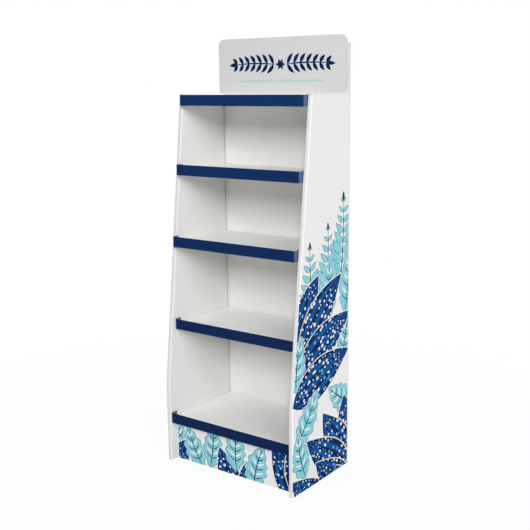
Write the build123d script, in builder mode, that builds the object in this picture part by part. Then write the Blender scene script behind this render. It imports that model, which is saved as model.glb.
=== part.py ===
"""A floor-standing display stand of folded corrugated board, in millimetres.

Two hollow side walls carry five folded trays by ears that hook into slots.
A blue lip wraps the front of each tray, a folded plinth stands under the
lowest one, and a header card rises behind the roof tray. X runs across the
stand, Y from its front to its back and Z up from the floor.
"""

import os

from build123d import *

os.makedirs("parts", exist_ok=True)

# Boards, and the play left where one piece slides in beside another
board = 4.0
lip_board = 3.0
header_board = 7.0
play = 0.3
fold_inner_radius = 1.0
overrun = 20.0

# The stand as a whole, and its plain back panel
stand_width = 600.0
stand_depth = 380.0
back_height = 1605.0

# Hollow side walls: the front edge rises plumb, then leans back
wall_height = 1430.0
wall_width = 18.0
wall_toe_height = 315.0
wall_setback = 131.0
wall_rear_seam = 4.0
wall_flap_play = 1.0
wall_closure_seam = 0.6

# Trays: the height of each surface, and where its lip stands by the walls' front
base_level = 177.5
lower_level = 551.5
middle_level = 876.0
upper_level = 1147.5
roof_level = 1405.5
lip_overhang = 21.0
lower_recess = 17.0
base_recess = 5.0
flange_depth = 18.0
flange_corner_gap = 1.5

# Ears on the trays' sides, and the slots that take them
ear_length = 50.0
ear_reach = 9.0
ear_corner_radius = 4.0
ear_place_shares = (0.25, 0.75)
slot_play = 0.5

# Lips: strips folded round the trays' front corners
lip_height = 40.0
lip_rise = 20.0
lip_return = 30.0
lip_fold_radius = 3.0
lip_edge_radius = 1.0

# Header card, backed by the panel that it tops, with a tongue behind the roof tray
header_rise = 29.0
header_left_shoulder = 16.0
header_right_shoulder = 9.0
header_corner_radius = 28.0
header_tongue = 40.0

# Plinth under the base tray, and the support folded in behind its front
plinth_setback = 37.0
support_width = 190.0

# Faces that several pieces share
front_face = -stand_depth / 2
back_face = stand_depth / 2 - board
wall_inner_face = stand_width / 2 - wall_width
bay_half = wall_inner_face - play
header_top = back_height + header_rise
fold_outer_radius = fold_inner_radius + board
lip_outer_radius = lip_fold_radius + lip_board

trays = {
    "base": (base_level, -base_recess, play),
    "lower": (lower_level, -lower_recess, play),
    "middle": (middle_level, lip_overhang, play),
    "upper": (upper_level, lip_overhang, play),
    "roof": (roof_level, lip_overhang, play + header_board + play),
}


def wall_front(height):
    """Y of the side walls' front edge at a height above the floor."""
    lean = wall_setback * (height - wall_toe_height) / (wall_height - wall_toe_height)
    return front_face + max(0, lean)


def ear_places(level):
    """Y of the middle of each ear: shares of the wall's depth at that level."""
    start = wall_front(level) + board
    return [start + share * (back_face - start) for share in ear_place_shares]


def save(piece, name):
    """Label a finished piece and write it to its own file."""
    piece.part.label = name
    export_step(piece.part, f"parts/{name}.step")


# Side walls: one sheet each, folded round the front edge, closed on top

for side, name in ((-1, "left_side_wall"), (1, "right_side_wall")):
    inner = side * wall_inner_face
    hollow = wall_width - 2 * board

    # The space between the two sheets, open at the floor
    with BuildPart() as wall_hollow:
        with BuildSketch(Plane.YZ.offset(inner + side * board)):
            with BuildLine():
                Polyline(
                    (front_face, -overrun),
                    (front_face, wall_toe_height),
                    (wall_front(wall_height), wall_height),
                    (back_face, wall_height),
                    (back_face, -overrun),
                    close=True,
                )
            make_face()
            offset(amount=-board, kind=Kind.INTERSECTION)
        extrude(amount=side * hollow)
        front_strips = wall_hollow.faces().sort_by(Axis.Y)[:2]
        fillet(front_strips.edges().filter_by(Axis.X, reverse=True), fold_inner_radius)

    with BuildPart() as wall:
        with BuildSketch(Plane.YZ.offset(inner)):
            with BuildLine():
                Polyline(
                    (front_face, 0),
                    (front_face, wall_toe_height),
                    (wall_front(wall_height), wall_height),
                    (back_face, wall_height),
                    (back_face, 0),
                    close=True,
                )
            make_face()
        extrude(amount=side * wall_width)
        front_strips = wall.faces().sort_by(Axis.Y)[:2]
        front_folds = front_strips.edges().filter_by(Axis.X, reverse=True)
        top_edges = wall.edges().filter_by(Axis.Y).group_by(Axis.Z)[-1]
        top_fold = top_edges.sort_by_distance((0, 0, wall_height))[0]
        fillet(front_folds + [top_fold], fold_outer_radius)
        add(wall_hollow.part, mode=Mode.SUBTRACT)

        # The inner sheet stops short of the back panel and of the rear flap
        with BuildSketch(Plane.XY):
            with Locations((inner, back_face)):
                Rectangle(2 * (board + wall_flap_play), 2 * wall_rear_seam)
        extrude(amount=wall_height - board, mode=Mode.SUBTRACT)

        # The closure on top is the inner sheet folded over the outer one
        with BuildSketch(Plane.XY.offset(wall_height - board - wall_closure_seam)):
            with Locations((inner + side * (board + stand_width / 2), 0)):
                Rectangle(stand_width, stand_depth)
        extrude(amount=wall_closure_seam, mode=Mode.SUBTRACT)

        # Slots for the ears of the five trays, through the inner sheet only
        for level, _, _ in trays.values():
            with BuildSketch(Plane.YZ.offset(inner - side * play)):
                for place in ear_places(level):
                    with Locations((place, level - board / 2)):
                        Rectangle(ear_length + 2 * slot_play, board + 2 * slot_play)
            extrude(amount=side * (play + board + play), mode=Mode.SUBTRACT)
    save(wall, name)

# Back panel: one flat sheet that stands taller than the side walls

with BuildPart() as back_panel:
    with BuildSketch(Plane.XZ.offset(-stand_depth / 2)):
        Rectangle(stand_width, back_height, align=(Align.CENTER, Align.MIN))
    extrude(amount=board)
save(back_panel, "back_panel")

# Trays: a panel with four flanges folded down, and two ears on each side

for name, (level, overhang, rear_gap) in trays.items():
    lip_front = wall_front(level) - overhang
    front = lip_front + lip_board
    rear = back_face - rear_gap
    depth = rear - front
    middle = (front + rear) / 2
    skirt = flange_depth - board
    return_end = lip_front + lip_return + play

    with BuildPart() as tray:
        with BuildSketch(Plane.XY.offset(level - flange_depth)):
            with Locations((0, middle)):
                Rectangle(2 * bay_half, depth)
        extrude(amount=flange_depth)
        fillet(tray.edges().group_by(Axis.Z)[-1], board)
        with BuildSketch(Plane.XY.offset(level - flange_depth)):
            with Locations((0, middle)):
                Rectangle(2 * (bay_half - board), depth - 2 * board)
        extrude(amount=skirt, mode=Mode.SUBTRACT)

        # Front corners: the panel is notched for the lip's two returns
        with BuildSketch(Plane.XY.offset(level - flange_depth)):
            with Locations((-bay_half, front), (bay_half, front)):
                Rectangle(2 * (lip_board + play), 2 * (return_end - front))
            with Locations((lip_board - bay_half, front), (bay_half - lip_board, front)):
                Rectangle(2 * lip_fold_radius, 2 * lip_fold_radius, rotation=45)
        extrude(amount=flange_depth, mode=Mode.SUBTRACT)

        # Side flanges start behind the notches and stop before the rear flange
        with BuildSketch(Plane.XY.offset(level - flange_depth)):
            with Locations((-bay_half, front), (bay_half, front)):
                Rectangle(2 * board, 2 * (return_end - front))
            with Locations((-bay_half, rear - board), (bay_half, rear - board)):
                Rectangle(2 * board, flange_corner_gap, align=(Align.CENTER, Align.MAX))
        extrude(amount=skirt, mode=Mode.SUBTRACT)

        # Each ear is cut out of the flange and stays level with the panel
        ears = [(x, place) for x in (-bay_half, bay_half) for place in ear_places(level)]
        with BuildSketch(Plane.XY.offset(level - board - ear_reach)):
            with Locations(*ears):
                Rectangle(2 * board, ear_length)
        extrude(amount=ear_reach, mode=Mode.SUBTRACT)
        with BuildSketch(Plane.XY.offset(level - board)):
            with Locations(*ears):
                RectangleRounded(2 * ear_reach, ear_length, ear_corner_radius)
        extrude(amount=board)
    save(tray, f"{name}_shelf")

    # Lip: a strip across the front, folded back at both ends
    with BuildPart() as lip:
        with BuildSketch(Plane.XY.offset(level + lip_rise - lip_height)):
            with BuildLine():
                FilletPolyline(
                    (-bay_half, lip_front + lip_return),
                    (-bay_half, lip_front),
                    (bay_half, lip_front),
                    (bay_half, lip_front + lip_return),
                    radius=lip_outer_radius,
                )
                offset(amount=lip_board, side=Side.LEFT)
            make_face()
        extrude(amount=lip_height)
        fillet(lip.edges().group_by(Axis.Z)[-1], lip_edge_radius)
    save(lip, f"{name}_lip")

# Header card: shoulders on the side walls, a tongue down behind the roof tray

with BuildPart() as header_card:
    with BuildSketch(Plane.XZ.offset(-back_face)):
        with Locations((0, wall_height)):
            Rectangle(
                wall_inner_face + header_left_shoulder,
                header_top - wall_height,
                align=(Align.MAX, Align.MIN),
            )
            Rectangle(
                wall_inner_face + header_right_shoulder,
                header_top - wall_height,
                align=(Align.MIN, Align.MIN),
            )
        fillet(vertices().group_by(Axis.Y)[-1], header_corner_radius)
        with Locations((0, wall_height)):
            Rectangle(2 * bay_half, header_tongue, align=(Align.CENTER, Align.MAX))
    extrude(amount=header_board)
save(header_card, "header_card")

# Plinth: a front with two sides folded back, standing under the base tray

plinth_front = front_face + plinth_setback
plinth_height = base_level - flange_depth

with BuildPart() as plinth:
    with BuildSketch(Plane.XY):
        with BuildLine():
            FilletPolyline(
                (-bay_half, back_face - play),
                (-bay_half, plinth_front),
                (bay_half, plinth_front),
                (bay_half, back_face - play),
                radius=fold_outer_radius,
            )
            offset(amount=board, side=Side.LEFT)
        make_face()
    extrude(amount=plinth_height)

    # The front rises between the tray's side flanges to carry its panel
    with BuildSketch(Plane.XY.offset(plinth_height)):
        with Locations((0, plinth_front)):
            Rectangle(
                2 * (bay_half - fold_outer_radius - play),
                board,
                align=(Align.CENTER, Align.MIN),
            )
    extrude(amount=base_level - board - plinth_height)
save(plinth, "plinth")

# Plinth support: a channel behind the plinth's front, under the tray's middle

support_front = plinth_front + board
support_rear = back_face - play - board - play

with BuildPart() as plinth_support:
    with BuildSketch(Plane.XY):
        with BuildLine():
            FilletPolyline(
                (-support_width / 2, support_rear),
                (-support_width / 2, support_front),
                (support_width / 2, support_front),
                (support_width / 2, support_rear),
                radius=fold_outer_radius,
            )
            offset(amount=board, side=Side.LEFT)
        make_face()
    extrude(amount=base_level - board)
save(plinth_support, "plinth_support")
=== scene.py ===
# %% [markdown]
# # A cardboard display stand
#
# The stand is folded from corrugated board. Its folds, slots and trays come
# ready as a frame of solids, so this lesson gives them their looks: white
# paper, deep blue lips, and a printed facing of leaves on the sides and the
# plinth. Everything is in metres, with the origin on the floor under the
# middle of the stand, X to its right, -Y to its open front and Z up.

# %% Load the frame
import math

import bpy
import numpy as np
from mathutils import Matrix, Vector
from mathutils.geometry import delaunay_2d_cdt


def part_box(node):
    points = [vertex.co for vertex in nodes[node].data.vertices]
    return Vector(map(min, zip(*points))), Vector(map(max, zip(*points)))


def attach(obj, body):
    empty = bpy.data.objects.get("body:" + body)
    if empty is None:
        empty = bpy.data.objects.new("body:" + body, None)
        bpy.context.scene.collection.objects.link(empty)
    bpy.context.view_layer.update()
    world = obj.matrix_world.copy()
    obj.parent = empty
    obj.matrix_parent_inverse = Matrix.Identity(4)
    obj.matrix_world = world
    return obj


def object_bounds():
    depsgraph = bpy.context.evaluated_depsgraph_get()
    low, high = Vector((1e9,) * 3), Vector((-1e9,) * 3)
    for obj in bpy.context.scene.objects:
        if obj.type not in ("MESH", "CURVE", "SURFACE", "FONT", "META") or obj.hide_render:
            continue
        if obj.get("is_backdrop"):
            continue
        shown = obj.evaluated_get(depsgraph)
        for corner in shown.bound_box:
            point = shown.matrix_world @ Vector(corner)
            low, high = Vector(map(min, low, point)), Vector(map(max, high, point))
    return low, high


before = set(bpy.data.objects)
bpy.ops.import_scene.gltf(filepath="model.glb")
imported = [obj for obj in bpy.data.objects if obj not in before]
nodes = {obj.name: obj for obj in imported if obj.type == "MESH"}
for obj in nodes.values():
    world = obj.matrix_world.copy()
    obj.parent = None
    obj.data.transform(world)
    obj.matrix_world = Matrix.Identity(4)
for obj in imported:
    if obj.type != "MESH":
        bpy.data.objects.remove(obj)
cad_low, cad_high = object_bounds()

print("nodes:", ", ".join(sorted(nodes)))
print("size of the stand, m:", [round(size, 3) for size in cad_high - cad_low])

# %% [markdown]
# ## The camera
#
# The photograph was taken from the stand's right, a little above its roof
# tray, with a fairly long lens. Aiming a camera by eye would take many tries,
# so its place and its three angles are given as measured: turn, tip and roll.
# The two axes of the picture follow from those angles.

# %% The camera
camera_place = Vector((1.985, -2.629, 1.468))
camera_turn = 0.6349
camera_tip = -0.2027
camera_roll = -0.012
picture_side = 530
focal_pixels = 889
film_width = 36

ahead = Vector((
    -math.sin(camera_turn) * math.cos(camera_tip),
    math.cos(camera_turn) * math.cos(camera_tip),
    math.sin(camera_tip),
))
level_right = Vector((math.cos(camera_turn), math.sin(camera_turn), 0))
level_up = level_right.cross(ahead)
right = math.cos(camera_roll) * level_right + math.sin(camera_roll) * level_up
up = math.cos(camera_roll) * level_up - math.sin(camera_roll) * level_right
camera_axes = Matrix((right, up, -ahead)).transposed().to_4x4()

lens = bpy.data.cameras.new("camera")
lens.sensor_width = film_width
lens.lens = film_width * focal_pixels / picture_side
camera = bpy.data.objects.new("camera", lens)
camera.matrix_world = Matrix.Translation(camera_place) @ camera_axes
bpy.context.scene.collection.objects.link(camera)
bpy.context.scene.camera = camera
print("lens, mm:", round(lens.lens, 1))

# %% [markdown]
# ## Formulas as shaders
#
# A finish is easier to read as a formula than as a web of nodes. Expression
# wraps one socket and turns +, -, *, / and ** into Math nodes. The nodes could
# be laid out by hand in the shader editor, but a formula shows its values.


# %% Expressions
class Expression:
    """One socket of a shader, which can be written in formulas."""

    def __init__(self, shader, socket):
        self.shader = shader
        self.socket = socket

    def maths(self, operation, *others):
        """A Math node of that operation on this value and the others."""
        return self.shader.maths(operation, self, *others)

    def __add__(self, other):
        return self.maths("ADD", other)

    def __sub__(self, other):
        return self.maths("SUBTRACT", other)

    def __rsub__(self, other):
        return self.shader.maths("SUBTRACT", other, self)

    def __mul__(self, other):
        return self.maths("MULTIPLY", other)

    def __truediv__(self, other):
        return self.maths("DIVIDE", other)

    def __pow__(self, other):
        return self.maths("POWER", other)

    def __abs__(self):
        return self.maths("ABSOLUTE")

    __radd__ = __add__
    __rmul__ = __mul__

    def ramp(self, low, high):
        """0 below low, 1 above high, and smooth between them."""
        return self.shader.node(
            "ShaderNodeMapRange",
            {"interpolation_type": "SMOOTHSTEP"},
            {"Value": self, "From Min": low, "From Max": high},
        )


print("a formula can use + - * / ** abs and ramp")

# %% [markdown]
# ## Nodes by one method
#
# A material and the sky are both trees of nodes. Each node could be added by
# a few lines of its own, but one method that takes its settings and its
# inputs keeps most of them down to one line.


# %% Shaders
class Shader:
    """The nodes of a material or of the sky."""

    def __init__(self, tree):
        self.tree = tree

    def node(self, kind, settings=None, inputs=None, output=0):
        """Add a node: its settings first, then the values or links of its sockets."""
        made = self.tree.nodes.new(kind)
        for key, value in (settings or {}).items():
            setattr(made, key, value)
        for key, value in (inputs or {}).items():
            self.feed(made.inputs[key], value)
        return Expression(self, made.outputs[output])

    def feed(self, socket, value):
        """Link a socket to an expression, or set its value."""
        if isinstance(value, Expression):
            self.tree.links.new(value.socket, socket)
        else:
            socket.default_value = value

    def maths(self, operation, *values):
        """A Math node of that operation on these values."""
        return self.node("ShaderNodeMath", {"operation": operation}, dict(enumerate(values)))


print("one method adds every node, and one feeds every socket")

# %% [markdown]
# ## Finishes
#
# A finish is a material that starts from the place of each point on its piece,
# so a pattern has its real size. The pieces could be unwrapped onto a picture
# instead, but that stretches at their folds and has no size in millimetres.


# %% Finishes
class Finish(Shader):
    """A material in the making."""

    def __init__(self, name):
        self.material = bpy.data.materials.new(name)
        self.material.use_nodes = True
        super().__init__(self.material.node_tree)
        self.surface = self.tree.nodes["Principled BSDF"]
        self.place = self.node("ShaderNodeTexCoord", output="Object")
        self.at = self.split(self.place)

    def split(self, vector):
        """The parts of a vector, by the names of their axes."""
        parts = self.node("ShaderNodeSeparateXYZ", inputs={"Vector": vector})
        sockets = parts.socket.node.outputs
        return {axis: Expression(self, socket) for axis, socket in zip("xyz", sockets)}

    def facing(self):
        """The parts of the direction that the surface faces."""
        return self.split(self.node("ShaderNodeTexCoord", output="Normal"))

    def noise(self, scale, detail=2.0):
        """A cloudy value from 0 to 1; scale is in lumps per metre."""
        inputs = {"Vector": self.place, "Scale": scale, "Detail": detail}
        return self.node("ShaderNodeTexNoise", inputs=inputs)

    def blend(self, share, first, second):
        """A colour between two colours."""
        return self.node(
            "ShaderNodeMix",
            {"data_type": "RGBA"},
            {"Factor": share, 6: first, 7: second},
            output=2,
        )

    def relief(self, height):
        """A normal tilted by a height in metres."""
        return self.node("ShaderNodeBump", inputs={"Height": height, "Distance": 1.0, "Strength": 1.0})

    def use(self, **sockets):
        """Feed the surface's sockets, with underscores for the spaces in their names."""
        for key, value in sockets.items():
            self.feed(self.surface.inputs[key.replace("_", " ")], value)
        return self.material


print("a finish knows each point's place, in metres")

# %% [markdown]
# ## Colours
#
# The stand's colours are known as a screen shows them, but light is added up
# in linear values. They could be given as linear ones at once, which are hard
# to picture, so paint turns the one into the other.


# %% Paint
def paint(red, green, blue):
    """A colour as a screen shows it, 0 to 255, made linear: ((c + 0.055) / 1.055)^2.4,
    or c / 12.92 where it is very dark."""
    shares = np.array((red, green, blue)) / 255
    linear = np.where(shares > 0.04045, ((shares + 0.055) / 1.055) ** 2.4, shares / 12.92)
    return (*linear.tolist(), 1.0)


print("a middle grey of 188 is", round(paint(188, 188, 188)[0], 2), "in linear light")

# %% [markdown]
# ## White paper
#
# The board is faced with white paper over a fluted core. From near by the
# paper shows fibres, a faint washboard where the flutes press through, and
# a greyer line on each fold: partly the crease's own grey, partly painted
# shade that darkens the folds. A photograph of board could be laid on, but
# it would stretch round the folds and blur from near by. So all of that is
# worked out from the place on the board.

# %% Paper, fibres and flutes
white_paper = paint(225, 224, 221)
shaded_paper = paint(219, 218, 214)
# crease grey and painted shade, for the rounded folds
crease_and_shade_paper = paint(200, 197, 192)
flute_pitch = 0.0072
flute_depth = 0.000010
fibre_depth = 0.000012
fine_fibres, coarse_fibres = 2600, 420
coarse_share = 0.7


def flute_wave(along):
    """A sine along the board, one wave for each flute: sin(2 pi along / pitch)."""
    return (along * (2 * math.pi / flute_pitch)).maths("SINE")


def fibres(finish):
    """The relief of paper fibres, in metres."""
    return (finish.noise(fine_fibres, 3.0) + finish.noise(coarse_fibres) * coarse_share) * fibre_depth


def fold_mask(finish):
    """1 on rounded folds, where the surface faces no main direction: its largest part
    is 1 on a flat side, and falls to 0.71 in the middle of a fold."""
    x, y, z = map(abs, finish.facing().values())
    return 1 - x.maths("MAXIMUM", y).maths("MAXIMUM", z).ramp(0.80, 0.985)


print("flutes in the stand's width:", round((cad_high.x - cad_low.x) / flute_pitch))

# %% [markdown]
# ## Cut edges
#
# Where the board was cut, its core shows: a wavy line of paper between two
# flat ones, in each layer of the board. Flutes modelled as geometry would take
# a million faces that hardly show, so the edge is drawn on the flat cut.

# %% Cut edges
board_thickness = 0.004
per_metre = 1000
fluting_paper = paint(215, 211, 204)
hollow_shade = paint(183, 178, 170)
wave_share = 0.36
cut_share = 0.8


def cut_edge(finish, wave, across, low_side, layer):
    """A mask of the cut edges, which don't face across the board, and their colours:
    a line of fluting at 0.5 + 0.36 wave of each layer's depth, and liners at 0 and 1."""
    cut = 1 - abs(finish.facing()[across]).ramp(0.3, 0.6)
    depth = ((finish.at[across] - low_side) / layer).maths("FRACT")
    line = 1 - abs(depth - 0.5 - wave * wave_share).ramp(0.06, 0.14)
    liner = abs(depth - 0.5).ramp(0.40, 0.44)
    edge = finish.blend(line.maths("MAXIMUM", liner), hollow_shade, fluting_paper)
    return cut * cut_share, finish.blend(liner, edge, white_paper)


print("a flute's line moves each way by, mm:", round(wave_share * board_thickness * per_metre, 1))

# %% [markdown]
# ## White board
#
# The walls, the trays, the panels and the header are of white-lined board.
# They differ in their paper, their sheen and the way their flutes run. Each
# could have a finish written out, but one function with these as its
# arguments keeps them alike.


# %% White board
def white_board(name, along, lining=white_paper, gloss=0.35, cut=None, overlays=()):
    """White-lined board, with flutes that repeat along one direction. cut holds the
    direction across the board, its low side and the depth of a layer. Each overlay is
    a mask of some places, and the colour that shows there."""
    finish = Finish(name)
    clouds = finish.noise(5.0, 4.0)
    specks = finish.noise(700, 1.0).ramp(0.62, 0.75)
    colour = finish.blend(clouds * 0.5 + specks * 0.18, lining, shaded_paper)
    # the folds darken: partly the crease's own grey, partly painted shade
    creases_and_shade = fold_mask(finish) * (0.3 + finish.noise(130, 3.0) * 0.6)
    colour = finish.blend(creases_and_shade, colour, crease_and_shade_paper)
    wave = flute_wave(finish.at[along])
    if cut:
        edges, edge_colour = cut_edge(finish, wave, *cut)
        colour = finish.blend(edges, colour, edge_colour)
    for mask, shade in overlays:
        colour = finish.blend(mask(finish), colour, shade)
    return finish.use(
        Base_Color=colour,
        Roughness=0.56 + clouds * 0.1,
        Normal=finish.relief(fibres(finish) + wave * flute_depth),
        Specular_IOR_Level=gloss,
    )


print("a layer of plain board, mm:", board_thickness * per_metre)

# %% [markdown]
# ## Greyer places
#
# Some places of the walls and the back panel are painted greyer, as painted
# shade: the walls' front strips, the groove behind each inner sheet, and the
# part of the panel that stands above the walls, which takes the header's grey.
# Painting those faces by hand would need other meshes, so each one is a mask
# that follows from where the surface is and which way it faces.

# %% Masks of the greyer places
wall_paper = paint(221, 220, 217)
# painted shade on the walls' front strips
strip_painted_shade = paint(212, 210, 208)
header_paper = paint(201, 200, 199)
# painted shade in the groove behind each inner sheet
groove_shade = paint(98, 94, 89)
groove_width = 0.004
groove_depth = 0.005
mask_play = 0.0004
right_low, right_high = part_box("right_side_wall")


def rear_groove(finish):
    """1 in the groove between a wall's inner sheet and the back panel, by its place:
    behind the sheet's end, and no deeper than the wall's rear flap."""
    start = right_high.y - groove_width
    depth = abs(finish.at["x"]) - right_low.x
    within = 1 - depth.ramp(groove_depth, groove_depth + mask_play)
    return finish.at["y"].ramp(start - mask_play, start) * within


def above_walls_shade(finish):
    """1 above the side walls, on all but the rear face: there the panel gets painted shade in the
    header's grey.
    """
    above = finish.at["z"].ramp(right_high.z, right_high.z + mask_play)
    return above * (1 - finish.facing()["y"].ramp(0.45, 0.9))


def front_facing_shade(finish):
    """1 where a wall faces the front, which gets painted shade."""
    return (0 - finish.facing()["y"]).ramp(0.3, 0.9)


print("the panel turns grey at, m:", round(right_high.z, 3))

# %% [markdown]
# ## Dressing the white pieces
#
# The walls, the panel, the plinth and its support are cut from one board. The
# trays are of a smoother one, as goods slide over them, and their paper is
# painted lighter all over, as painted light that stands in for light from
# above. A piece keeps its solid from the frame and gets a finish alone.

# %% White pieces
# painted light: the trays' paper is lighter than the walls'
tray_paper_painted_light = paint(242, 241, 239)
levels = ("base", "lower", "middle", "upper", "roof")
back_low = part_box("back_panel")[0]
wall_board = white_board(
    "wall_board", "y", lining=wall_paper,
    overlays=((front_facing_shade, strip_painted_shade), (rear_groove, groove_shade)),
)
# the panel's face above the walls gets painted shade in the header's grey
back_board = white_board(
    "back_board", "x", gloss=0.1,
    cut=("y", back_low.y, board_thickness), overlays=((above_walls_shade, header_paper),),
)
tray_board = white_board("tray_board", "x", lining=tray_paper_painted_light, gloss=0.7)
support_board = white_board("support_board", "y")
boards = {
    "left_side_wall": wall_board,
    "right_side_wall": wall_board,
    "back_panel": back_board,
    "plinth": support_board,
    "plinth_support": support_board,
}
boards.update({f"{level}_shelf": tray_board for level in levels})
for name, board in boards.items():
    nodes[name].data.materials[0] = board
print("white pieces:", len(boards))

# %% [markdown]
# ## Header card
#
# The header is double-wall board: its cut edge shows two layers of flutes. It
# stands above all else, so its face is smooth and matt, and doesn't glare. The
# same board serves with other values, and needs no finish of its own.

# %% Header card
header_layers = 2
header_low, header_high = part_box("header_card")
header_layer = (header_high.y - header_low.y) / header_layers
nodes["header_card"].data.materials[0] = white_board(
    "header_board", "x", lining=header_paper, gloss=0.1, cut=("y", header_low.y, header_layer)
)
print("a layer of the header, mm:", round(header_layer * per_metre, 2))

# %% [markdown]
# ## Blue lips
#
# Each lip is a strip dyed and lined in deep blue. Its paper has a faint satin
# sheen. The blue is palest on the roof's lip and deepens towards the floor, a
# painted shade, as less light reaches the lower lips; one finish can say it
# with a formula in the height, so five aren't needed. A coat shines on the two
# returns, and a painted sheen makes their blue a little paler.

# %% Blue lips
deep_blue = paint(7, 30, 71)
# painted sheen: a paler blue for the lips' returns
painted_sheen_blue = paint(150, 166, 207)
painted_sheen_share = 0.14
lip_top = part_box("roof_lip")[1].z

lip = Finish("lip_board")
lip_clouds = lip.noise(9.0, 4.0)
returns = abs(lip.facing()["x"]).ramp(0.45, 0.9)
# painted sheen on the returns, patchy by noise
painted_sheen = returns * (0.6 + lip.noise(150, 3.0) * 0.8)
roof_blue = lip.blend(lip_clouds, paint(12, 42, 85), paint(18, 47, 93))
# painted shade: the blue deepens towards the floor, where less light reaches
height_shaded_blue = lip.blend((lip.at["z"] / lip_top) ** 1.5, deep_blue, roof_blue)
lip_board = lip.use(
    Base_Color=lip.blend(painted_sheen * painted_sheen_share, height_shaded_blue, painted_sheen_blue),
    Roughness=0.36 + lip_clouds * 0.1,
    Normal=lip.relief(fibres(lip)),
    Specular_IOR_Level=0.06,
    Coat_Weight=returns,
    Coat_Roughness=0.3,
    Coat_IOR=1.6,
)
for level in levels:
    nodes[f"{level}_lip"].data.materials[0] = lip_board
print("blue lips:", len(levels), "up to, m:", round(lip_top, 3))

# %% [markdown]
# ## The print: inks
#
# The sides and the plinth carry a printed facing: leaves in navy, blue and
# pale aqua on white, as a printer would draw them in flat inks. A painted
# picture could hold any colour, but a press has a few, so they are a short
# list, and a shape names the one that it takes.

# %% Inks
print_paper = paint(226, 223, 221)
white_ink, navy_ink, blue_ink, aqua_ink, pale_ink, pale_aqua_ink, header_ink = range(7)
inks = np.array([
    print_paper,
    paint(9, 31, 73),
    paint(0, 79, 146),
    paint(129, 196, 204),
    paint(97, 161, 204),
    paint(161, 193, 196),
    header_paper,
])
print("inks:", len(inks))

# %% [markdown]
# ## The print: leaf outlines
#
# Each shape is an outline in millimetres with one ink, and the list is
# painted from back to front. A leaf is a curved line from its root to its
# tip, with a half width that swells and tapers. A drawing tool could trace
# it, but here all its stripes and dots follow from that one line.


# %% Leaf outlines
def leaf_line(leaf, t):
    """Points and normals of a leaf's axis: (1-t)^2 root + 2t(1-t) middle + t^2 tip,
    with the middle pushed sideways by bend times the leaf's length."""
    root, tip, bend, width = leaf
    root, tip, t = np.array(root, float), np.array(tip, float), np.asarray(t)[:, None]
    along = tip - root
    middle = (root + tip) / 2 + bend * np.array((-along[1], along[0]))
    points = (1 - t) ** 2 * root + 2 * t * (1 - t) * middle + t**2 * tip
    heading = 2 * (1 - t) * (middle - root) + 2 * t * (tip - middle)
    normals = np.stack([-heading[:, 1], heading[:, 0]], 1)
    return points, normals / np.linalg.norm(normals, axis=1)[:, None]


def leaf_half(leaf, t, lobes=0, depth=0.0):
    """Half width: half of the full width times sin(pi t^0.8)^0.9, and for a scalloped
    leaf times 1 - depth + depth |cos(pi lobes t)|."""
    swell = np.sin(math.pi * np.clip(t, 0, 1) ** 0.8) ** 0.9
    return leaf[3] / 2 * swell * (1 - depth + depth * np.abs(np.cos(math.pi * lobes * t)))


def strip(leaf, low, high, start=0.0, end=1.0, steps=18, grow=0.0, lobes=0, depth=0.0):
    """The outline of the leaf between two shares of its half width, grown on both sides."""
    t = np.linspace(start, end, steps)
    points, normals = leaf_line(leaf, t)
    half = leaf_half(leaf, t, lobes, depth)
    one_side = points + normals * (low * half - grow)[:, None]
    other_side = points + normals * (high * half + grow)[:, None]
    return np.concatenate([one_side, other_side[::-1]])


widest = leaf_half(((0, 0), (0, 1), 0, 2), np.linspace(0, 1, 101)).argmax()
print("a leaf is widest at, per cent of its length:", widest)

# %% [markdown]
# ## Beads
#
# Rows of light beads run along the dark leaves. Even rows would look machine
# made, and beads thrown over the whole leaf would lose its direction. So each
# bead keeps to its lane, and strays in it by seeded chance, the same in every
# run.

# %% Beads
chance = np.random.default_rng(11)
bead_radius = 7.6
smallest_bead = 2.0
bead_fill_share = 0.66
missing_share = 0.12
white_bead_share = 0.7
bead_corners = 9


def dot(centre, radius, stretch, turn):
    """An ellipse: radius times (stretch cos a, sin a), turned and moved to its centre."""
    a = np.arange(bead_corners) / bead_corners * 2 * math.pi
    x, y = radius * stretch * np.cos(a), radius * np.sin(a)
    turned_x = x * math.cos(turn) - y * math.sin(turn)
    turned_y = x * math.sin(turn) + y * math.cos(turn)
    return np.stack([turned_x, turned_y], 1) + centre


def beads(leaf, lane, reach, spacing):
    """A row of beads along a lane of the leaf, which stray sideways by reach."""
    count = max(3, int(math.dist(leaf[0], leaf[1]) / spacing))
    t = np.linspace(0.07, 0.93, count) + chance.uniform(-0.4, 0.4, count) / count
    points, normals = leaf_line(leaf, t)
    half = leaf_half(leaf, t)
    sideways = (lane + chance.uniform(-0.5, 0.5, count) * reach) * half
    points = points + normals * sideways[:, None]
    radii = np.minimum(half * reach * bead_fill_share, bead_radius) * chance.uniform(0.4, 1.0, count)
    shapes = []
    for point, normal, radius in zip(points, normals, radii):
        if radius > smallest_bead and chance.random() > missing_share:
            turn = math.atan2(normal[1], normal[0]) + math.pi / 2
            shape = dot(point, radius, chance.uniform(1.0, 1.4), turn)
            shapes.append((shape, white_ink if chance.random() < white_bead_share else pale_ink))
    return shapes


print("beads are about, mm across:", 2 * smallest_bead, "to", 2 * bead_radius)

# %% [markdown]
# ## Dark leaves
#
# The large leaves are navy in a white rim, with blue bands along them. The
# bands could be drawn one by one, but as shares of the leaf's width they
# follow its bend. Every lane, navy or blue, then gets its row of beads.

# %% Dark leaves
navy_spacing, blue_spacing = 21, 38
dark_rim = 4.0
band_start, band_width = 0.98, 1.04
lane_fill_share = 0.55


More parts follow.
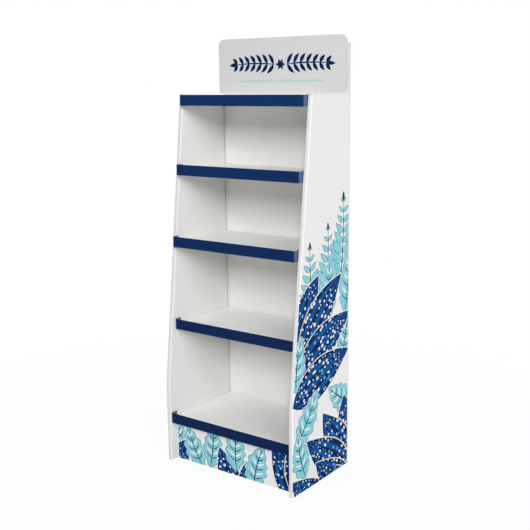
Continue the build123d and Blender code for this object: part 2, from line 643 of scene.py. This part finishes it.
def dark_leaf(leaf, bands=2):
    """A navy leaf in a white rim, with blue bands along it and a row of beads in every
    lane: the bands are the odd lanes of 2 bands + 1 lanes of like width."""
    shapes = [
        (strip(leaf, -1, 1, steps=26, grow=dark_rim), white_ink),
        (strip(leaf, -1, 1, steps=26), navy_ink),
    ]
    lanes = 2 * bands + 1
    step = 2 / lanes
    for band in range(bands):
        low = -1 + (2 * band + band_start) * step
        shapes.append((strip(leaf, low, low + band_width * step, 0.02, 0.98, steps=24), blue_ink))
    for lane in range(lanes):
        spacing = navy_spacing if lane % 2 == 0 else blue_spacing
        shapes += beads(leaf, -1 + (lane + 0.5) * step, lane_fill_share * step, spacing)
    return shapes


def wide_leaf(leaf):
    """A dark leaf with one more band."""
    return dark_leaf(leaf, 3)


print("spacing of the beads, mm:", navy_spacing, "on navy and", blue_spacing, "on blue")

# %% [markdown]
# ## Pale leaves
#
# Pale leaves fill the gaps between the dark ones. They have a scalloped
# outline, a midrib, and veins that are white and navy by turns. They could be
# stamped from one drawing, but as a function each copy can bend its own way.

# %% Pale leaves
pale_edge = {"steps": 48, "lobes": 5, "depth": 0.24}
pale_rim = 5.0
pale_line = 1.2
first_vein, last_vein = 2, 7
veins_in_length = 9.5
vein_length_share = 0.12
vein_reach_share = 0.68
vein_bend = 0.14
white_vein, navy_vein = 8.0, 4.4


def pale_leaf(leaf):
    """An aqua leaf with a scalloped navy outline, a midrib and veins."""
    shapes = [
        (strip(leaf, -1, 1, grow=pale_rim, **pale_edge), white_ink),
        (strip(leaf, -1, 1, grow=pale_line, **pale_edge), navy_ink),
        (strip(leaf, -1, 1, 0.02, 0.98, grow=-1.0, **pale_edge), aqua_ink),
        (strip(leaf, -0.035, 0.035, 0.05, 0.9, grow=0.8), navy_ink),
    ]
    for side in (-1, 1):
        for vein in range(first_vein, last_vein + 1):
            t = np.array([vein / veins_in_length, vein / veins_in_length + vein_length_share])
            points, normals = leaf_line(leaf, t)
            end = points[1] + side * normals[1] * leaf_half(leaf, t)[1] * vein_reach_share
            white = vein % 2
            line = (points[0], end, vein_bend * side, white_vein if white else navy_vein)
            shapes.append((strip(line, -1, 1, steps=8), white_ink if white else navy_ink))
    return shapes


print("corners of a pale leaf's outline:", 2 * pale_edge["steps"])

# %% [markdown]
# ## Ferns
#
# Ferns let the print thin out towards bare board. Smaller leaves could stand
# there, but they would be just as dense. A fern is mostly gaps, and its
# leaflets are short leaves set along one stem.

# %% Ferns
stem_width = 3.8
leaflet_line = 1.1
leaflet_out, leaflet_along = 0.85, 0.55
leaflet_bend = 0.16
leaflet_width_share = 0.42


def fern(root, tip, bend, size, pairs):
    """A stem with pairs of leaflets that shorten towards its tip: their length is size
    times (1.08 - t)^0.8, and half of that at the root."""
    stem = (root, tip, bend, stem_width)
    shapes = [(strip(stem, -1, 1, grow=0.9), navy_ink)]
    t = np.linspace(0.12, 0.97, pairs)
    points, normals = leaf_line(stem, t)
    lengths = size * (1.08 - t) ** 0.8 * (0.5 + 0.5 * np.minimum(1, t / 0.25))
    for point, normal, length in zip(points, normals, lengths):
        along = np.array((normal[1], -normal[0]))
        for side in (-1, 1):
            end = point + (side * normal * leaflet_out + along * leaflet_along) * length
            leaflet = (point, end, leaflet_bend * side, length * leaflet_width_share)
            shapes.append((strip(leaflet, -1, 1, steps=9, grow=leaflet_line), navy_ink))
            shapes.append((strip(leaflet, -1, 1, 0.04, 0.96, steps=9, grow=-0.6), aqua_ink))
    along = np.array((normals[-1][1], -normals[-1][0]))
    bud = (points[-1], points[-1] + along * size * 0.3, 0, size * 0.14)
    return shapes + [(strip(bud, -1, 1, steps=9), navy_ink)]


print("a fern's stem, mm:", stem_width)

# %% [markdown]
# ## The print: a plane map
#
# Flat inks have sharp borders at any distance, which a painted texture can't
# keep. So the shapes are cut into each other as a plane map: one constrained
# triangulation of all outlines, where every triangle takes the ink of the
# topmost shape that holds it.

# %% A plane map of outlines
inside_only = 1
merge_distance = 0.001


def plane_map(outlines):
    """Flat outlines cut into each other, inside the first one: the points, their
    triangles, and for each triangle the number of the last outline that holds it."""
    ends = np.cumsum([len(points) for points in outlines])
    rings = [list(range(end - len(points), end)) for points, end in zip(outlines, ends)]
    corners = [Vector(point) for point in np.concatenate(outlines)]
    flat, _, triangles, _, _, holders = delaunay_2d_cdt(corners, [], rings, inside_only, merge_distance)
    kept = [k for k, held in enumerate(holders) if 0 in held]
    tops = np.array([max(holders[k]) for k in kept])
    used, triangles = np.unique(np.array([triangles[k] for k in kept]), return_inverse=True)
    flat = np.array([tuple(point) for point in flat])[used]
    return flat, triangles.reshape(-1, 3), tops


square = np.array([(0, 0), (1, 0), (1, 1), (0, 1)], float)
square_triangles = plane_map([square])[1]
print("triangles of a square:", len(square_triangles))

# %% [markdown]
# ## The print: closed sheets
#
# A printed facing is thin, but it has a back and a rim. A modifier could
# thicken the map, but the rim's sides are easy to find: they belong to one
# triangle alone. So the sheet is closed here, without a loop.


# %% Closed sheets
def closed_faces(triangles, count):
    """All faces of a sheet, from the triangles of its front. Its back repeats them turned
    round, with every corner's number higher by count, and each side that one triangle
    alone has is on the rim and gets two more."""
    sides = np.concatenate([triangles[:, [0, 1]], triangles[:, [1, 2]], triangles[:, [2, 0]]])
    keys = np.sort(sides, axis=1) @ (count, 1)
    _, first, uses = np.unique(keys, return_index=True, return_counts=True)
    start, end = sides[first[uses == 1]].T
    rim_one = np.stack([end, start, start + count], 1)
    rim_two = np.stack([end, start + count, end + count], 1)
    return np.concatenate([triangles, triangles[:, ::-1] + count, rim_one, rim_two])


print("faces of a closed square sheet:", len(closed_faces(square_triangles, len(square))))

# %% [markdown]
# ## The print: its finish
#
# Printed board is a little uneven: the ink is worn thin in specks, and its
# sheen varies. One material for each ink would repeat all that, so the
# colours are kept on the mesh, one for each face, and one finish reads them.


# %% Finish of the print
def print_finish(name, paper):
    """Inks on paper: the colour of each triangle, worn thin in specks."""
    finish = Finish(name)
    mottle = finish.noise(45, 4.0)
    ink = finish.node("ShaderNodeAttribute", {"attribute_name": "ink"}, output="Color")
    worn = finish.noise(900).ramp(0.70, 0.80) * 0.05 + mottle * 0.004
    return finish.use(
        Base_Color=finish.blend(worn, ink, paper),
        Roughness=0.44 + mottle * 0.12,
        Normal=finish.relief(fibres(finish) * 0.8),
        Specular_IOR_Level=0.02,
    )


print("the colours are kept as: ink")

# %% [markdown]
# ## The print: a sheet
#
# A sheet's front lies a paper's thickness off the panel and its back on it,
# so it is closed and casts no shadow of its own. It could be shrunk onto the
# solid by a modifier, but then its outline would slip, so a function gives
# each flat point its place on the stand.

# %% A printed sheet
sheet_thickness = 0.00015


def printed_sheet(name, outline, shapes, to_space, material, bare_ink=white_ink):
    """One sheet of print. outline and shapes are in millimetres on the flat panel;
    to_space gives a flat point its place on the stand, lifted off it by a height."""
    flat, triangles, tops = plane_map([np.array(outline, float)] + [points for points, ink in shapes])
    front = to_space(flat / per_metre, sheet_thickness)
    back = to_space(flat / per_metre, 0.0)
    a, b, c = front[triangles[0]]
    if np.cross(b - a, c - a) @ (front - back)[0] < 0:
        triangles = triangles[:, ::-1]
    faces = closed_faces(triangles, len(flat))

    mesh = bpy.data.meshes.new(name)
    mesh.from_pydata(np.concatenate([front, back]).tolist(), [], faces.tolist())
    ink_of = np.array([bare_ink] + [ink for points, ink in shapes])
    colours = np.tile(inks[bare_ink], (len(faces), 1))
    colours[:len(triangles)] = inks[ink_of[tops]]
    ink_layer = mesh.attributes.new("ink", "FLOAT_COLOR", "CORNER")
    ink_layer.data.foreach_set("color", np.repeat(colours, 3, axis=0).astype(np.float32).ravel())
    mesh.materials.append(material)
    piece = bpy.data.objects.new(name, mesh)
    bpy.context.scene.collection.objects.link(piece)
    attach(piece, "root")
    print(name, "shapes", len(shapes), "triangles", len(faces))


print("thickness of a sheet, mm:", sheet_thickness * per_metre)

# %% [markdown]
# ## Side walls: the panel
#
# A wall's facing covers its outer side and bends round the front fold, so the
# print has no bare corner there. It could be wrapped by a modifier, but the
# bend is one formula, and the outline needs the wall's slope anyway. The toe,
# the setback and the fold are those of the frame's walls.

# %% The panel of a side wall
wall_low, wall_high = (np.array(corner) * per_metre for corner in (right_low, right_high))
toe_height = 315.0
setback = 131.0
front_fold = 5.0
closure = 4.6
margin = 3.0
wrap_end, wrap_middle = 1.2, 3.1
wall_depth = wall_high[1] - wall_low[1]
lean = setback / (wall_high[2] - toe_height)
top_height = wall_high[2] - closure


def front_line(inset):
    """The wall's front edge on the flat panel, from the floor up, moved back by inset."""
    top_inset = inset + lean * (top_height - toe_height)
    return [(inset, 0), (inset, toe_height), (top_inset, top_height)]


def front_band(low, high):
    """A bare strip along the front edge, so that the sheet can bend there."""
    return [(np.array(front_line(low) + front_line(high)[::-1]), white_ink)]


def side_place(side):
    """Flat points on a side wall: the first part runs back along Y, the second up. Near
    the front edge it goes round the fold: y = r - r sin a, x = r cos a - r, a = s / r."""
    def place(flat, lift):
        front = lean * np.maximum(0, flat[:, 1] * per_metre - toe_height) / per_metre
        radius = front_fold / per_metre
        a = np.clip((radius - (flat[:, 0] - front)) / radius, 0, 1)
        y = np.where(a > 0, front + radius - (radius + lift) * np.sin(a), flat[:, 0])
        x = right_high.x - radius + (radius + lift) * np.cos(a)
        return np.stack([side * x, y + right_low.y, flat[:, 1]], 1)
    return place


wall_rear = wall_depth - margin
wall_outline = front_line(wrap_end)[::-1] + [(wall_rear, 0), (wall_rear, top_height)]
print("the front edge leans back by, degrees:", round(math.degrees(math.atan(lean)), 1))

# %% [markdown]
# ## Side walls: the leaves
#
# The leaves grow from the floor to about three fifths of the wall and thin out
# into fern tips, with bare white board above. They could be scattered by
# chance, but a print is composed, so each one is listed: its root and tip,
# its bend and its width. Both walls get the same print, mirrored, as they
# would from one printing form.

# %% Prints of the side walls
dark, wide, pale = dark_leaf, wide_leaf, pale_leaf
wall_shapes = (
    front_band(wrap_end, wrap_middle) + front_band(wrap_middle, front_fold)
    + fern((140, 640), (114, 900), 0.06, 96, pairs=7)
    + fern((310, 700), (338, 1050), -0.06, 122, pairs=9)
    + fern((218, 690), (232, 955), -0.05, 96, pairs=7)
    + pale(((350, 610), (372, 860), -0.10, 124))
    + pale(((130, 560), (76, 760), 0.10, 112))
    + pale(((250, 620), (246, 840), 0.08, 110))
    + wide(((50, 540), (170, 790), 0.12, 136))
    + wide(((44, 480), (324, 770), 0.08, 150))
    + pale(((340, 440), (400, 640), 0.10, 120))
    + wide(((20, 420), (392, 615), 0.06, 152))
    + pale(((24, 390), (62, 590), 0.12, 104))
    + wide(((4, 340), (380, 470), 0.04, 150))
    + pale(((20, 190), (160, 365), -0.12, 116))
    + pale(((404, 250), (240, 350), 0.10, 112))
    + wide(((404, 70), (350, 290), 0.10, 132))
    + wide(((400, 30), (200, 260), 0.10, 144))
    + pale(((84, 50), (34, 235), 0.10, 110))
    + wide(((400, -20), (90, 185), 0.05, 150))
    + wide(((240, -110), (-6, 60), 0.08, 140))
    + wide(((410, -110), (150, 80), 0.05, 150))
    + dark(((420, -150), (290, 20), 0.06, 120))
)
side_print = print_finish("side_print", print_paper)
printed_sheet("print_right_side", wall_outline, wall_shapes, side_place(1), side_print)
printed_sheet("print_left_side", wall_outline, wall_shapes, side_place(-1), side_print)

# %% [markdown]
# ## Plinth
#
# The plinth's front carries the same leaves, laid low and paler in the middle.
# Its facing stops where the two sides fold back, and just under the base tray.

# %% Print of the plinth
plinth_low, plinth_high = (np.array(corner) * per_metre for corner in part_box("plinth"))
plinth_left, plinth_right = plinth_low[0] + front_fold, plinth_high[0] - front_fold
plinth_top = 159.0
plinth_outline = (
    (plinth_left, 0),
    (plinth_right, 0),
    (plinth_right, plinth_top),
    (plinth_left, plinth_top),
)
plinth_shapes = (
    pale(((-250, 80), (-312, 160), 0.1, 84))
    + wide(((-310, -50), (-244, 84), -0.10, 96))
    + pale(((-150, -10), (-226, 150), 0.10, 96))
    + pale(((-116, 0), (-100, 190), -0.1, 96))
    + dark(((26, -70), (-66, 96), 0.10, 100))
    + pale(((16, 20), (24, 200), 0.1, 96))
    + wide(((64, -90), (60, 70), -0.10, 96))
    + pale(((96, -30), (146, 150), 0.10, 100))
    + wide(((330, -70), (190, 190), 0.10, 112))
    + wide(((350, -40), (270, 200), 0.10, 116))
)


def upright_place(face):
    """Flat points on an upright face: the first part runs along X, the second up, and
    the lift is off it towards the front: y = face - lift."""
    def place(flat, lift):
        return np.stack([flat[:, 0], np.full(len(flat), face - lift), flat[:, 1]], 1)
    return place


plinth_place = upright_place(plinth_low[1] / per_metre)
printed_sheet("print_plinth", plinth_outline, plinth_shapes, plinth_place, side_print)

# %% [markdown]
# ## Garland
#
# A garland of plain leaves fills the middle of the card. Its two halves could
# be drawn by themselves, but one function with a side keeps them alike.

# %% Garland
garland_height = 1534.0
garland_inner, garland_outer = 26.0, 226.0
garland_pairs = 7
garland_stem = 4.4
sprig_length, sprig_width = 48.0, 15.0
sprig_out, sprig_along = 0.78, 0.62
sprig_shortening = 0.35


def sprig(root, tip, bend, width, ink=navy_ink, steps=14):
    """One plain leaf, as a list of one shape."""
    return [(strip((root, tip, bend, width), -1, 1, steps=steps), ink)]


def garland(side):
    """A stem from the middle outwards, with pairs of navy leaves that shorten a little."""
    root, tip = (side * garland_inner, garland_height), (side * garland_outer, garland_height)
    stem = (root, tip, 0.05 * side, garland_stem)
    shapes = [(strip(stem, -1, 1, grow=0.7), navy_ink)]
    t = np.linspace(0.03, 0.9, garland_pairs)
    points, normals = leaf_line(stem, t)
    for point, normal, length in zip(points, normals, sprig_length * (1 - sprig_shortening * t)):
        along = np.array((normal[1], -normal[0]))
        for turn in (-1, 1):
            end = point + (turn * normal * sprig_out + along * sprig_along) * length
            shapes += sprig(point, end, 0.14 * turn, sprig_width)
    return shapes + sprig(points[-1], points[-1] + along * sprig_length * 0.8, 0, sprig_width)


ornament = garland(-1) + garland(1)
print("shapes of the garland:", len(ornament))

# %% [markdown]
# ## Star and palmettes
#
# A small star sits between the two halves, and a row of pale palmettes runs
# below them. Both could have outlines of their own, but the same plain leaf
# serves, turned about one root.

# %% Star and palmettes
star_petals = 6
petal_length, petal_width = 22.0, 11.0
palmettes = 9
palmette_step = 20.5
palmette_height = 1469.0
palmette_leaves = ((28, 10), (152, 10), (90, 14))
palmette_width = 5.6


def ray(root, angle, length):
    """The end of a straight line: root + length (cos angle, sin angle)."""
    return np.array(root) + (length * math.cos(angle), length * math.sin(angle))


star = (0, garland_height)
for turn in np.arange(star_petals) / star_petals * 2 * math.pi:
    ornament += sprig(star, ray(star, turn, petal_length), 0, petal_width)
for place in range(-palmettes, palmettes + 1):
    foot = (place * palmette_step, palmette_height)
    for degrees, reach in palmette_leaves:
        tip = ray(foot, math.radians(degrees), reach)
        ornament += sprig(foot, tip, 0, palmette_width, pale_aqua_ink, steps=9)
print("shapes of the ornament:", len(ornament))

# %% [markdown]
# ## Header facing
#
# The ornament is printed on a facing that covers the whole card, because a
# smaller one would show its edge. Its outline has straight sides and two round
# upper corners. The left one is the right one mirrored about the card's
# middle, so both stay alike.

# %% Print of the header card
corner_radius = 28.0
card_left, card_right = header_low.x * per_metre, header_high.x * per_metre
card_foot, card_top = wall_high[2], header_high.z * per_metre
quarter = np.linspace(0, math.pi / 2, 9)
right_arc = np.stack([
    card_right - corner_radius + corner_radius * np.cos(quarter),
    card_top - corner_radius + corner_radius * np.sin(quarter),
], 1)
left_arc = np.stack([card_left + card_right - right_arc[:, 0], right_arc[:, 1]], 1)[::-1]
card_outline = np.concatenate([[(card_left, card_foot), (card_right, card_foot)], right_arc, left_arc])

header_print = print_finish("header_print", header_paper)
card_place = upright_place(header_low.y)
printed_sheet("print_header", card_outline, ornament, card_place, header_print, header_ink)

# %% [markdown]
# ## Floor
#
# The photograph has a plain white ground. A white picture behind the stand
# would show no shadow, so a floor disc takes the shadow. The camera sees it
# nearly white by the stand and white farther off, and to all other light it
# is pale paper.

# %% Floor
floor_radius = 14.0
floor_corners = 96
shadow_whitening = 0.92
whitening_start, whitening_end = 0.6, 2.2

angles = np.arange(floor_corners) / floor_corners * 2 * math.pi
ring = np.stack([np.cos(angles), np.sin(angles), np.zeros(floor_corners)], 1) * floor_radius
floor_mesh = bpy.data.meshes.new("floor")
floor_mesh.from_pydata(ring.tolist(), [], [list(range(floor_corners))])
floor = bpy.data.objects.new("floor", floor_mesh)
bpy.context.scene.collection.objects.link(floor)
floor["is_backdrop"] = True

ground = Finish("floor_paper")
ground.use(
    Base_Color=ground.blend(ground.noise(2.0), paint(236, 236, 236), paint(240, 240, 240)),
    Roughness=0.9,
)
away = ground.node("ShaderNodeVectorMath", {"operation": "LENGTH"}, {0: ground.place}, output=1)
camera_ray = ground.node("ShaderNodeLightPath", output="Is Camera Ray")
white_glow = ground.node("ShaderNodeEmission", inputs={"Color": (1, 1, 1, 1), "Strength": 1.0})
paper = Expression(ground, ground.surface.outputs[0])
away_share = away.ramp(whitening_start, whitening_end)
whitening = camera_ray * (shadow_whitening + (1 - shadow_whitening) * away_share)
shown = ground.node("ShaderNodeMixShader", inputs={0: whitening, 1: paper, 2: white_glow})
ground.feed(ground.tree.nodes["Material Output"].inputs["Surface"], shown)
floor_mesh.materials.append(ground.material)
print("floor, m across:", 2 * floor_radius)

# %% [markdown]
# ## Sky
#
# The sky is white to the camera and in reflections, as the photograph's
# backdrop is. It could be a white wall, but that would throw light back on
# the stand. The sky hardly glows to all other light, so the lamps alone
# light it.

# %% Sky
sky_strength = 0.01
world = bpy.data.worlds.new("sky")
bpy.context.scene.world = world
world.use_nodes = True
sky = Shader(world.node_tree)
seen, glossy, passing = (
    sky.node("ShaderNodeLightPath", output=f"Is {kind} Ray")
    for kind in ("Camera", "Glossy", "Transmission")
)
white_share = seen.maths("MAXIMUM", glossy).maths("MAXIMUM", passing)
backdrop = sky.tree.nodes["Background"]
sky.feed(backdrop.inputs["Color"], (1, 1, 1, 1))
sky.feed(backdrop.inputs["Strength"], sky_strength + (1 - sky_strength) * white_share)
print("strength of the sky's own light:", sky_strength)

# %% [markdown]
# ## Lamps
#
# A photo studio lights such a stand with large soft boxes. The main one hangs
# high behind the camera, so the trays shade the top of each bay. A weaker one
# fills in from the right. Three helpers lift single sides: one behind on the
# right for the right wall, one straight above for the roof tray and the
# header's foot, and one behind on the left for the rear and the left wall.
# One bright sky would be simpler, but it would fill the bays evenly.

# %% Lamps
lamp_tint = (0.962, 0.978, 1.0)
lamps = (
    ("front_light", (6.14, -9.83, 6.25), (0, 0, 0.9), (3.0, 4.0), 1229.7),
    ("right_light", (7.72, -4.11, 5.75), (0, 0, 0.9), (3.6, 3.6), 345.7),
    ("side_light", (2.1, 2.6, 0.9), (0.28, -0.1, 1.0), (1.0, 2.0), 19.7),
    ("top_light", (0.1, 0.02, 4.9), (0.1, 0, 0.9), (1.0, 1.0), 65),
    ("back_light", (-4.4, 6.2, 2.6), (-0.1, 0.1, 0.8), (3.0, 3.0), 301.6),
)


def soft_light(name, place, aim, size, power):
    """A rectangular area lamp at a place, turned to face its aim."""
    lamp = bpy.data.lights.new(name, "AREA")
    lamp.shape = "RECTANGLE"
    lamp.size, lamp.size_y = size
    lamp.energy = power
    lamp.color = lamp_tint
    holder = bpy.data.objects.new(name, lamp)
    holder.location = place
    holder.rotation_euler = (Vector(aim) - Vector(place)).to_track_quat("-Z", "Y").to_euler()
    bpy.context.scene.collection.objects.link(holder)


for lamp in lamps:
    soft_light(*lamp)
bpy.context.scene.view_settings.view_transform = "Standard"
print("lamps:", len(lamps), "power, W:", round(sum(lamp[-1] for lamp in lamps)))

# %% [markdown]
# ## The dressed size
#
# The facings lie on the boards and make the stand a paper's thickness wider.
# Its size is measured once more, and how much wider it is than the frame is
# printed.

# %% Finish
dressed_low, dressed_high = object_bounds()
growth = (dressed_high - dressed_low) - (cad_high - cad_low)
print("wider than the frame, mm:", round(growth.x * per_metre, 2))
